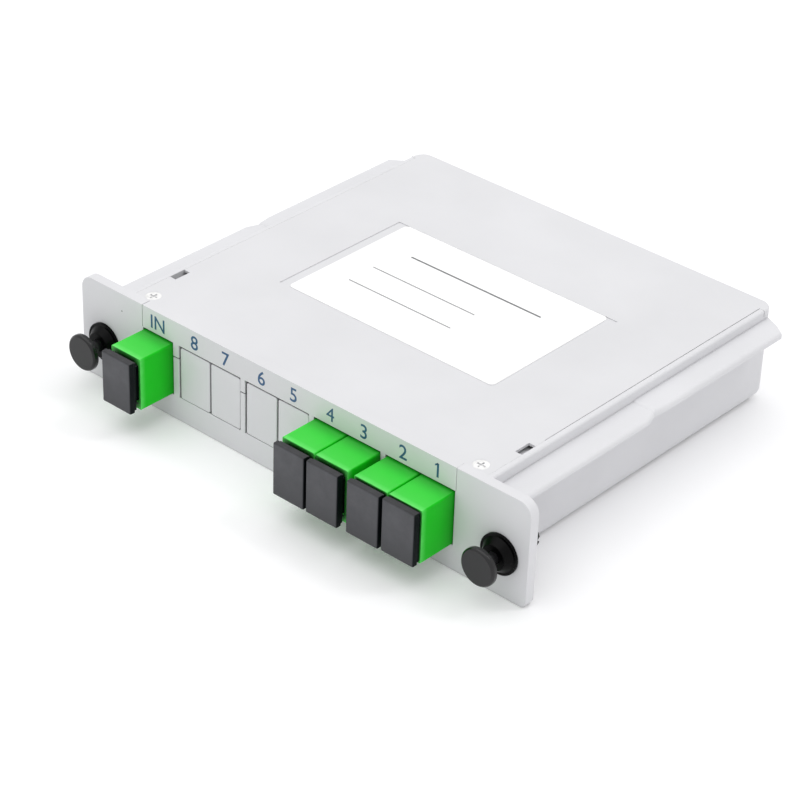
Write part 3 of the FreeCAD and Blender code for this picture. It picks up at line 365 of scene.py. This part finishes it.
# painted shade in the gaps of the case, the cover and the blanks
CASE = moulded("case_abs", CASE_GREY, rough=0.46, gap_shade=0.75)
COVER = moulded("cover_abs", COVER_GREY, rough=0.44, gap_shade=0.75)
BLANK = moulded("blank_abs", BLANK_GREY, rough=0.42, gap_shade=0.75)
ADAPTER = adapter_plastic("adapter_green")
CAP = rubber_cap("cap_rubber")
# a painted highlight on the knob's rim: its edges seven times paler
KNOB = moulded("knob_nylon", KNOB_BLACK, rough=0.22, grain=0.6 * MM,
               depth=0.002 * MM, cloud=0.10, wear_and_highlight_share=0.9, wear_and_highlight_paler=7.0, specular=0.38)
COLLAR = moulded("collar_nylon", COLLAR_BLACK, rough=0.30, grain=0.6 * MM,
                 depth=0.002 * MM, cloud=0.10, wear_and_highlight_paler=1.6, specular=0.08)
HOLDER = moulded("holder_plastic", HOLDER_CREAM, rough=0.45)
PLUG = moulded("plug_plastic", PLUG_GREEN, rough=0.40)
BOOT = moulded("boot_rubber", BOOT_GREEN, rough=0.60)
JACKET = moulded("fibre_jacket", FIBRE_WHITE, rough=0.45)
FOAM = moulded("pad_foam", FOAM_GREY, rough=0.85, grain=0.5 * MM, depth=0.08 * MM)
ZIRCONIA = moulded("zirconia", CERAMIC, rough=0.18, depth=0.001 * MM)
CHIP = metal("chip_steel", STEEL, rough=0.30)
SCREW = metal("screw_steel", SCREW_WHITE, rough=0.45, metallic=0.5, recess_shade=SCREW_RECESS_SHADE)
LABEL = paper("label_paper")
BLUE_INK = ink("digit_ink", PRINT_BLUE)
GREY_INK = ink("rule_ink", PRINT_GREY)

# which finish each CAD node gets, by how its name starts
FINISHES = (
    ("base_shell", CASE), ("top_cover", COVER), ("cover_screws", SCREW),
    ("label", LABEL), ("blank_plate", BLANK), ("adapter_body", ADAPTER),
    ("dust_cap", CAP), ("sleeve_holder", HOLDER), ("split_sleeve", ZIRCONIA),
    ("ferrule", ZIRCONIA), ("inner_plug", PLUG), ("strain_boot", BOOT),
    ("fibre_clips", HOLDER), ("fibre_tail", JACKET), ("fibre_coil", JACKET),
    ("chip_lead", JACKET), ("chip_pad", FOAM), ("splitter_chip", CHIP),
    ("latch_plunger", KNOB), ("latch_grommet", COLLAR))


def finish_of(name):
    for start, material in FINISHES:
        if name.startswith(start):
            return material
    raise ValueError("no finish for " + name)


def paint(piece, material):
    piece.data.materials.clear()
    piece.data.materials.append(material)


def paint_nodes():
    for name, node in NODES.items():
        paint(node, finish_of(name))


# ------------------------------------------------------------ dressed pieces

# Where the CAD part's faces are, in mm: across from the middle, along from the
# front plate's face, and up from the bench.
PLATE_BACK = 2.5
PLATE_TOP = 25.0
CASE_SIDE = 52.3
CASE_TOP = 24.25
FOOT_TOP = 2.5
COVER_SIDE = 50.8
COVER_FRONT = 3.0           # the cover's front corners are before this
COVER_OPENS = 21.5          # the right-hand seam is wide behind this
COVER_FLARE = 95.9
STRIP_END = (45.0, 46.0)    # the strip's right-hand end is between these
RAIL_EDGE = 56.1
RAIL_LOW = 20.2
RAIL_TOP_LOW = 21.6
RAIL_TOP = 21.9
RAIL_STEP = 49.0
SCREW_OUT = 47.4
SCREW_BACK = 5.3
CROSS_HALF = 0.8
CAP_BEVEL = 0.4
CAP_PLATE = 1.9
RECESS_FLOOR = 23.75
LEG_FIXED = 4.0

# How the forms differ from the CAD part's, in mm or as a share.
STEP_RUN = 0.3              # slope in place of the rails' step
LEG_SHORTER = 0.17          # latches' legs beyond LEG_FIXED, as a share
CROSS_WIDER = 1.5           # screws' cross recess, as a share
BLANK_NARROWER = 0.12       # blank plates 5 and 7, on the right
CAP_FINER = 0.2             # dust caps' front edges
CAP_THINNER = 0.4           # dust caps' plates
RECESS_RAISED = 0.3         # floor of the label's recess
LABEL_LONGER = 0.36         # label, towards the rear

# roundings, in mm
EDGE_ROUND = 0.15
RIM_ROUND = 0.60
SEAM_ROUND = 0.01
OPEN_SEAM_ROUND = 0.09
COVER_ROUND = 0.06
COVER_CORNER = 0.80
RAIL_ROUND = 0.85
RAIL_ROUND_LOW = 0.40
FOOT_ROUND = 0.80
LABEL_ROUND = 0.02
SCREW_ROUND = 0.04
BLANK_ROUND = 0.22
ADAPTER_ROUND = 0.20
CAP_ROUND = 0.15
KNOB_ROUND = 0.20
GROMMET_ROUND = 0.06
WIDEST = 1.0                # a full bevel weight stands for this rounding

# Edges stay as they are where they are blunter than these angles in degrees,
# or shorter than these lengths in mm.
BLUNT = 40
BLUNT_ON_ROUNDS = 30
SHORT = 0.3
SHORT_ON_SCREW = 0.2
SHORT_ON_TRAY = 0.15

UPRIGHT = 1.0               # an edge that rises by more, in mm, is upright
NEAR = 0.02                 # places closer than this, in mm, count as one
ROUGHLY = 0.1               # and these do where a face slopes
ONE_POINT = 0.002           # vertices closer than this, in mm, are joined
ONE_FACE = 0.5              # faces within this angle, in degrees, are joined
SMOOTH = 50                 # shading runs on across a bend up to this angle


def clean_form(name):
    """The CAD node's surface with its flat faces whole again."""
    form = bmesh.new()
    form.from_mesh(NODES[name].data)
    bmesh.ops.remove_doubles(form, verts=form.verts, dist=ONE_POINT * MM)
    bmesh.ops.dissolve_limit(form, angle_limit=math.radians(ONE_FACE),
                             verts=form.verts, edges=form.edges)
    return form


def in_millimetres(vertex):
    """A vertex in mm: across, from the plate's face, and up."""
    return vertex.co.x / MM, (vertex.co.y - FRONT) / MM, vertex.co.z / MM


def ends_strip(ends):
    """Whether an edge lies where the cover's strip ends, on the plate's top."""
    low, high = STRIP_END
    return all(low < x < high and z > PLATE_TOP - NEAR for x, y, z in ends)


def tray_rounding(ends):
    """Rounding of one edge of the tray, in mm."""
    if ends_strip(ends):
        return SEAM_ROUND
    across = [abs(x) for x, y, z in ends]
    along = [y for x, y, z in ends]
    heights = [z for x, y, z in ends]
    if min(along) < PLATE_BACK - ROUGHLY or max(along) < PLATE_BACK + NEAR:
        return EDGE_ROUND
    if max(across) > RAIL_EDGE and min(across) > CASE_SIDE - ROUGHLY:
        if min(heights) > RAIL_TOP_LOW - NEAR:
            return RAIL_ROUND
        if max(heights) < RAIL_LOW + NEAR:
            return RAIL_ROUND_LOW
        return EDGE_ROUND
    if min(heights) > CASE_TOP - NEAR:
        if min(across) > CASE_SIDE - NEAR:
            return RIM_ROUND
        return SEAM_ROUND
    if max(heights) < FOOT_TOP + NEAR:
        return FOOT_ROUND
    return EDGE_ROUND


def cover_rounding(ends):
    """Rounding of one edge of the cover, in mm."""
    if ends_strip(ends):
        return SEAM_ROUND
    across = [x for x, y, z in ends]
    along = [y for x, y, z in ends]
    heights = [z for x, y, z in ends]
    is_upright = max(heights) - min(heights) > UPRIGHT
    at_front = PLATE_BACK < max(along) < COVER_FRONT
    if is_upright and at_front and min(across) > COVER_SIDE:
        return COVER_CORNER
    if min(heights) < CASE_TOP - NEAR or max(heights) > CASE_TOP + NEAR:
        return COVER_ROUND
    if max(along) > COVER_FLARE + NEAR:
        return RIM_ROUND
    if min(across) > COVER_SIDE and COVER_OPENS < max(along) < COVER_FLARE - NEAR:
        return OPEN_SEAM_ROUND
    if min(abs(x) for x in across) > COVER_SIDE:
        return SEAM_ROUND
    return COVER_ROUND


def ease_step(form):
    """Turns the step in the rails' upper faces into a short slope."""
    parts = {}
    for face in form.faces:
        points = [in_millimetres(vertex) for vertex in face.verts]
        if all(abs(x) > CASE_SIDE - ROUGHLY and z > RAIL_LOW - ROUGHLY
               for x, y, z in points):
            parts.update(dict.fromkeys((face, *face.verts, *face.edges)))
    start = Vector((0.0, FRONT + (RAIL_STEP - STEP_RUN) * MM, 0.0))
    bmesh.ops.bisect_plane(form, geom=list(parts), plane_co=start,
                           plane_no=Vector((0.0, 1.0, 0.0)))
    for vertex in form.verts:
        across, along, high = in_millimetres(vertex)
        on_step = abs(along - RAIL_STEP) < NEAR and abs(high - RAIL_TOP_LOW) < NEAR
        if on_step and abs(across) > CASE_SIDE - ROUGHLY:
            vertex.co.z = RAIL_TOP * MM
    bmesh.ops.remove_doubles(form, verts=form.verts, dist=ONE_POINT * MM)


def shorten_legs(form):
    """Shorter legs for a latch, which end where they show behind the ear."""
    for vertex in form.verts:
        beyond = vertex.co.y - FRONT - LEG_FIXED * MM
        if beyond > 0:
            vertex.co.y -= beyond * LEG_SHORTER


def widen_cross(form):
    """A larger cross recess in each of the cover's screws."""
    for vertex in form.verts:
        across, along, high = in_millimetres(vertex)
        middle = math.copysign(SCREW_OUT, across)
        if math.hypot(across - middle, along - SCREW_BACK) < CROSS_HALF:
            vertex.co.x = (middle + (across - middle) * CROSS_WIDER) * MM
            vertex.co.y = FRONT + (SCREW_BACK + (along - SCREW_BACK) * CROSS_WIDER) * MM


def thin_cap(form):
    """A thinner plate with finer front edges for a dust cap."""
    low = Vector([min(vertex.co[axis] for vertex in form.verts) for axis in range(3)])
    high = Vector([max(vertex.co[axis] for vertex in form.verts) for axis in range(3)])
    middle = (low + high) / 2
    for vertex in form.verts:
        behind = (vertex.co.y - low.y) / MM
        if behind < NEAR:
            for axis in (0, 2):
                outwards = math.copysign(CAP_FINER * MM, vertex.co[axis] - middle[axis])
                vertex.co[axis] += outwards
        elif behind < CAP_BEVEL + NEAR:
            vertex.co.y -= CAP_FINER * MM
        elif behind < CAP_PLATE + NEAR:
            vertex.co.y -= CAP_THINNER * MM


def raise_recess(form):
    """Brings the floor of the cover's label recess closer to its face."""
    for vertex in form.verts:
        if abs(vertex.co.z / MM - RECESS_FLOOR) < NEAR:
            vertex.co.z += RECESS_RAISED * MM


def raise_label(form):
    """Lays the label on that floor and lets it reach the recess's rear edge."""
    middle = sum(vertex.co.y for vertex in form.verts) / len(form.verts)
    for vertex in form.verts:
        vertex.co.z += RECESS_RAISED * MM
        if vertex.co.y > middle:
            vertex.co.y += LABEL_LONGER * MM


def narrow_blank(form):
    """Widens the gap on the right of a blank plate."""
    middle = sum(vertex.co.x for vertex in form.verts) / len(form.verts)
    for vertex in form.verts:
        if vertex.co.x > middle:
            vertex.co.x -= BLANK_NARROWER * MM


def outer_edges(form, short, blunt):
    """Convex edges that a mould leaves slightly rounded."""
    return [edge for edge in form.edges
            if edge.is_manifold and edge.is_convex
            and edge.calc_length() > short * MM
            and edge.calc_face_angle() > math.radians(blunt)]


def applied(piece):
    """Makes the piece's modifiers part of its mesh."""
    scene_state = bpy.context.evaluated_depsgraph_get()
    settled = bpy.data.meshes.new_from_object(piece.evaluated_get(scene_state))
    piece.modifiers.clear()
    piece.data = settled


def even_normals(mesh):
    """Smooth shading in which the larger faces lead, so that they stay flat."""
    limit = math.cos(math.radians(SMOOTH))
    around = [[] for vertex in mesh.vertices]
    for face in mesh.polygons:
        face.use_smooth = True
        for number in face.vertices:
            around[number].append((face.normal.copy(), face.area))
    normals = []
    for face in mesh.polygons:
        for number in face.vertices:
            total = Vector()
            for normal, area in around[number]:
                if normal.dot(face.normal) > limit:
                    total += normal * area
            normals.append(total.normalized())
    mesh.normals_split_custom_set(normals)


def body_of(name):
    for body, members in frame["record"]["behaviour"]["bodies"].items():
        if name in members:
            return body
    raise ValueError("no body holds " + name)


def placed(name, data):
    piece = bpy.data.objects.new(name, data)
    bpy.context.scene.collection.objects.link(piece)
    return piece


def mesh_of(name, form):
    mesh = bpy.data.meshes.new(name)
    form.to_mesh(mesh)
    form.free()
    return mesh


def dressed(name, rounding, segments=2, short=SHORT, blunt=BLUNT, change=None):
    """A copy of a CAD node with rounded outer edges, which stands for it.

    rounding is a width in mm, or a function that gives one for an edge, and
    change is a function that reworks the form before its edges are rounded.
    """
    form = clean_form(name)
    if change:
        change(form)
    share = form.edges.layers.float.new("bevel_weight_edge")
    for edge in outer_edges(form, short, blunt):
        if callable(rounding):
            width = rounding([in_millimetres(vertex) for vertex in edge.verts])
        else:
            width = rounding
        edge[share] = width / WIDEST
    piece = placed(name + "_skin", mesh_of(name + "_skin", form))
    bevel = piece.modifiers.new("round", "BEVEL")
    bevel.limit_method = "WEIGHT"
    bevel.width = WIDEST * MM
    bevel.segments = segments
    bevel.use_clamp_overlap = False
    applied(piece)
    even_normals(piece.data)
    paint(piece, finish_of(name))
    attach(piece, body_of(name))
    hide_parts(name)


def dress_case():
    dressed("base_shell", tray_rounding, segments=4,
            short=SHORT_ON_TRAY, change=ease_step)
    dressed("top_cover", cover_rounding, segments=4,
            change=raise_recess)
    dressed("label", LABEL_ROUND, change=raise_label)
    dressed("cover_screws", SCREW_ROUND, short=SHORT_ON_SCREW,
            change=widen_cross)
    for port in BLANKS:
        left_of_pair = port % 2 == 0
        dressed("blank_plate_%d" % port, BLANK_ROUND, segments=3,
                change=None if left_of_pair else narrow_blank)


def dress_ports():
    for port in (INPUT, *OUTPUTS):
        dressed("adapter_body_%d" % port, ADAPTER_ROUND, segments=3)
        dressed("dust_cap_%d" % port, CAP_ROUND, segments=3,
                blunt=BLUNT_ON_ROUNDS, change=thin_cap)


def dress_latches():
    for side in ("left", "right"):
        dressed("latch_plunger_" + side, KNOB_ROUND, segments=3,
                blunt=BLUNT_ON_ROUNDS)
        dressed("latch_grommet_" + side, GROMMET_ROUND,
                blunt=BLUNT_ON_ROUNDS, change=shorten_legs)


# -------------------------------------------------------------- small pieces

# the snap hook, in mm: corners across and up, and where it lies along Y
HOOK_OUTLINE = ((48.1, 22.6), (50.9, 22.5), (51.1, 22.4), (51.1, 20.0),
                (49.9, 20.5), (48.1, 21.6))
HOOK_FRONT = 12.7
HOOK_REAR = 19.1

# the speck, in mm: across, up, and its radius
SPECK_OUT = -52.0
SPECK_HIGH = 20.6
SPECK = 0.17
SPECK_SIDES = 10

# printing: the digits' sizes in metres, and the rest in mm
INPUT_WORD = "IN"
DIGIT_HEIGHT = 3.5 * MM
DIGIT_LOW = 20.4 * MM
DIGIT_SHARE = 0.73          # a digit's height, as a share of the font's size
PRINT_THICK = 0.02 * MM
PRINT_BOLD = 0.035 * MM
FLAG_OF_ONE = ((0.0, 3.50), (0.0, 2.98), (-0.80, 2.52), (-0.80, 2.92))
RULES = (                   # left end, right end, back and thickness
    (-19.0, 19.0, 9.5, 0.45), (-22.0, 8.0, 0.0, 0.25), (-22.0, 8.0, -8.0, 0.25))
RULE_END_STEPS = 6


def solid_of(name, near, far, material, carrier):
    """A closed piece between two outlines that have as many corners.

    carrier is the CAD node that the piece sits on.
    """
    form = bmesh.new()
    front = [form.verts.new(corner) for corner in near]
    rear = [form.verts.new(corner) for corner in far]
    form.faces.new(front)
    form.faces.new(rear[::-1])
    for number in range(len(near)):
        after = (number + 1) % len(near)
        form.faces.new((front[after], front[number], rear[number], rear[after]))
    bmesh.ops.recalc_face_normals(form, faces=form.faces)
    piece = placed(name, mesh_of(name, form))
    paint(piece, material)
    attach(piece, body_of(carrier))


def upright(outline, along, across=0.0, low=0.0):
    """Corners of an outline in mm, stood up at a place in metres."""
    return [(across + x * MM, along, low + z * MM) for x, z in outline]


def snap_hook():
    """The tray's snap hook in the cover's right-hand notch."""
    solid_of("snap_hook", upright(HOOK_OUTLINE, FRONT + HOOK_FRONT * MM),
             upright(HOOK_OUTLINE, FRONT + HOOK_REAR * MM),
             CASE, "base_shell")


def speck():
    """A small dark disc on the front of the left ear."""
    turns = [2 * math.pi * step / SPECK_SIDES for step in range(SPECK_SIDES)]
    outline = [(SPECK_OUT + SPECK * math.cos(turn), SPECK_HIGH + SPECK * math.sin(turn))
               for turn in turns]
    solid_of("ear_speck", upright(outline, FRONT - PRINT_THICK),
             upright(outline, FRONT), GREY_INK, "base_shell")


def middle_of(name):
    low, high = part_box(name)
    return (low + high) / 2


def word(text, place):
    """A word or digit on the front plate, centred on place."""
    name = "print_" + text.lower()
    curve = bpy.data.curves.new(name, "FONT")
    curve.body = text
    curve.align_x = "CENTER"
    curve.size = DIGIT_HEIGHT / DIGIT_SHARE
    curve.extrude = PRINT_THICK / 2
    # bolder strokes would close the 4
    curve.offset = 0.0 if text == "4" else PRINT_BOLD
    piece = placed(name, curve)
    piece.matrix_world = Matrix.Translation(place) @ Matrix.Rotation(math.pi / 2, 4, "X")
    paint(piece, BLUE_INK)
    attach(piece, body_of("base_shell"))


def flag_of_one(place):
    """The short slanted stroke at the top of the printed 1."""
    near, far = (upright(FLAG_OF_ONE, place.y + side, place.x, place.z)
                 for side in (-PRINT_THICK / 2, PRINT_THICK / 2))
    solid_of("print_1_flag", near, far, BLUE_INK, "base_shell")


def print_ports():
    front = FRONT - PRINT_THICK / 2
    names = {INPUT_WORD: "adapter_body_%d" % INPUT}
    names.update((str(port), "adapter_body_%d" % port) for port in OUTPUTS)
    names.update((str(port), "blank_plate_%d" % port) for port in BLANKS)
    for text, node in names.items():
        place = Vector((middle_of(node).x, front, DIGIT_LOW))
        word(text, place)
        if text == "1":
            flag_of_one(place)


def rule_outline(left, right, back, radius):
    """Corners of a bar with round ends, across and along Y."""
    corners = []
    for side, centre in ((1, right - radius), (-1, left + radius)):
        for step in range(RULE_END_STEPS + 1):
            turn = math.pi * step / RULE_END_STEPS - math.pi / 2
            corners.append((centre + side * radius * math.cos(turn),
                            back + side * radius * math.sin(turn)))
    return corners


def print_label():
    """Blank ruled lines to write on."""
    middle = middle_of("label")
    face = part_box("label")[1].z + RECESS_RAISED * MM
    for number, (left, right, back, thick) in enumerate(RULES):
        corners = rule_outline(middle.x + left * MM, middle.x + right * MM,
                               middle.y + back * MM, thick * MM / 2)
        lower, upper = ([(x, y, high) for x, y in corners]
                        for high in (face, face + PRINT_THICK))
        solid_of("label_rule_%d" % number, lower, upper, GREY_INK, "label")


# --------------------------------------------------------------------- stage

def seen_or_mirrored(tree):
    """1 for camera, glossy and transmission rays, and 0 for the others."""
    path = tree.nodes.new("ShaderNodeLightPath")
    total = path.outputs["Is Camera Ray"]
    for name in ("Is Glossy Ray", "Is Transmission Ray"):
        node = tree.nodes.new("ShaderNodeMath")
        node.operation = "MAXIMUM"
        tree.links.new(total, node.inputs[0])
        tree.links.new(path.outputs[name], node.inputs[1])
        total = node.outputs["Value"]
    return total


def floor_white():
    """A plain floor that glows a little where it is seen."""
    material = bpy.data.materials.new("floor_white")
    material.use_nodes = True
    tree = material.node_tree
    tree.nodes.remove(tree.nodes["Principled BSDF"])
    diffuse = tree.nodes.new("ShaderNodeBsdfDiffuse")
    diffuse.inputs["Color"].default_value = FLOOR_COLOUR + (1.0,)
    glow = tree.nodes.new("ShaderNodeEmission")
    scale = tree.nodes.new("ShaderNodeMath")
    scale.operation = "MULTIPLY"
    scale.inputs[1].default_value = FLOOR_GLOW
    tree.links.new(seen_or_mirrored(tree), scale.inputs[0])
    tree.links.new(scale.outputs["Value"], glow.inputs["Strength"])
    both = tree.nodes.new("ShaderNodeAddShader")
    tree.links.new(diffuse.outputs["BSDF"], both.inputs[0])
    tree.links.new(glow.outputs["Emission"], both.inputs[1])
    tree.links.new(both.outputs["Shader"],
                   tree.nodes["Material Output"].inputs["Surface"])
    return material


def build_floor():
    reach = FLOOR_REACH
    mesh = bpy.data.meshes.new("floor")
    mesh.from_pydata([(-reach, -reach, 0), (reach, -reach, 0), (reach, reach, 0),
                      (-reach, reach, 0)], [], [(0, 1, 2, 3)])
    floor = placed("floor", mesh)
    paint(floor, floor_white())


def build_world():
    """White where it is seen, and AMBIENT where it lights the object."""
    world = bpy.data.worlds.new("studio")
    world.use_nodes = True
    tree = world.node_tree
    background = tree.nodes["Background"]
    background.inputs["Color"].default_value = (1.0, 1.0, 1.0, 1.0)
    strength = tree.nodes.new("ShaderNodeMapRange")
    strength.inputs["To Min"].default_value = AMBIENT
    strength.inputs["To Max"].default_value = 1.0
    tree.links.new(seen_or_mirrored(tree), strength.inputs["Value"])
    tree.links.new(strength.outputs["Result"], background.inputs["Strength"])
    bpy.context.scene.world = world


def build_lamp(name, strength, spread, origin):
    """A lamp far away in the direction of origin."""
    sun = bpy.data.lights.new(name, "SUN")
    sun.energy = strength
    sun.angle = spread
    lamp = placed(name, sun)
    lamp.rotation_euler = Vector(origin).to_track_quat("Z", "Y").to_euler()


def build_camera():
    camera = bpy.data.cameras.new("camera")
    camera.sensor_width = CAMERA_SENSOR
    camera.lens = CAMERA_LENS
    camera.clip_start = CAMERA_NEAREST
    holder = placed("camera", camera)
    turn = (Matrix.Rotation(-CAMERA_YAW, 4, "Z")
            @ Matrix.Rotation(math.pi / 2 + CAMERA_PITCH, 4, "X")
            @ Matrix.Rotation(CAMERA_ROLL, 4, "Z"))
    holder.matrix_world = Matrix.Translation(CAMERA_PLACE) @ turn
    bpy.context.scene.camera = holder


paint_nodes()
dress_case()
dress_ports()
dress_latches()
snap_hook()
print_ports()
speck()
print_label()
build_floor()
build_world()
build_lamp("softbox", SUN_STRENGTH, SUN_SPREAD, SUN_FROM)
build_lamp("rim_light", RIM_LIGHT, RIM_SPREAD, RIM_FROM)
build_camera()
bpy.context.scene.view_settings.view_transform = "Standard"

bpy.context.view_layer.update()
